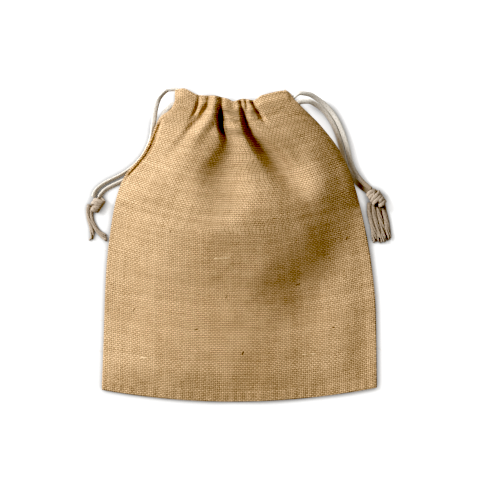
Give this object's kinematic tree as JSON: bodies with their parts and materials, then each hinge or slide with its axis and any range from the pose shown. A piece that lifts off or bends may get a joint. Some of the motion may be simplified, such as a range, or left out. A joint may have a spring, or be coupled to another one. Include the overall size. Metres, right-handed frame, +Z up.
{
  "type": "burlap drawstring sack",
  "caption": "Small jute drawstring sack lying empty on its back, its mouth drawn into pleats by two soft cords that are knotted together at each side.",
  "frame": {"origin": "centre of the sack's bounding box, on the surface that it lies on, without its cords and knots", "axes": "+Y from the bottom seam to the mouth, +X to the right seen from above, +Z up out of the front panel"},
  "size_m": [0.2749, 0.2806, 0.0359],
  "materials": {
    "jute": "rough, open plain weave",
    "cotton": "soft, matt flat braid"
  },
  "bodies": {
    "root": {"front_panel": "jute", "back_panel": "jute", "front_cord": "cotton", "back_cord": "cotton", "knot_left": "cotton", "knot_right": "cotton", "tail_left_1": "cotton", "tail_left_2": "cotton", "tail_right_1": "cotton", "tail_right_2": "cotton", "tail_right_3": "cotton", "tail_right_4": "cotton"}
  },
  "joints": []
}
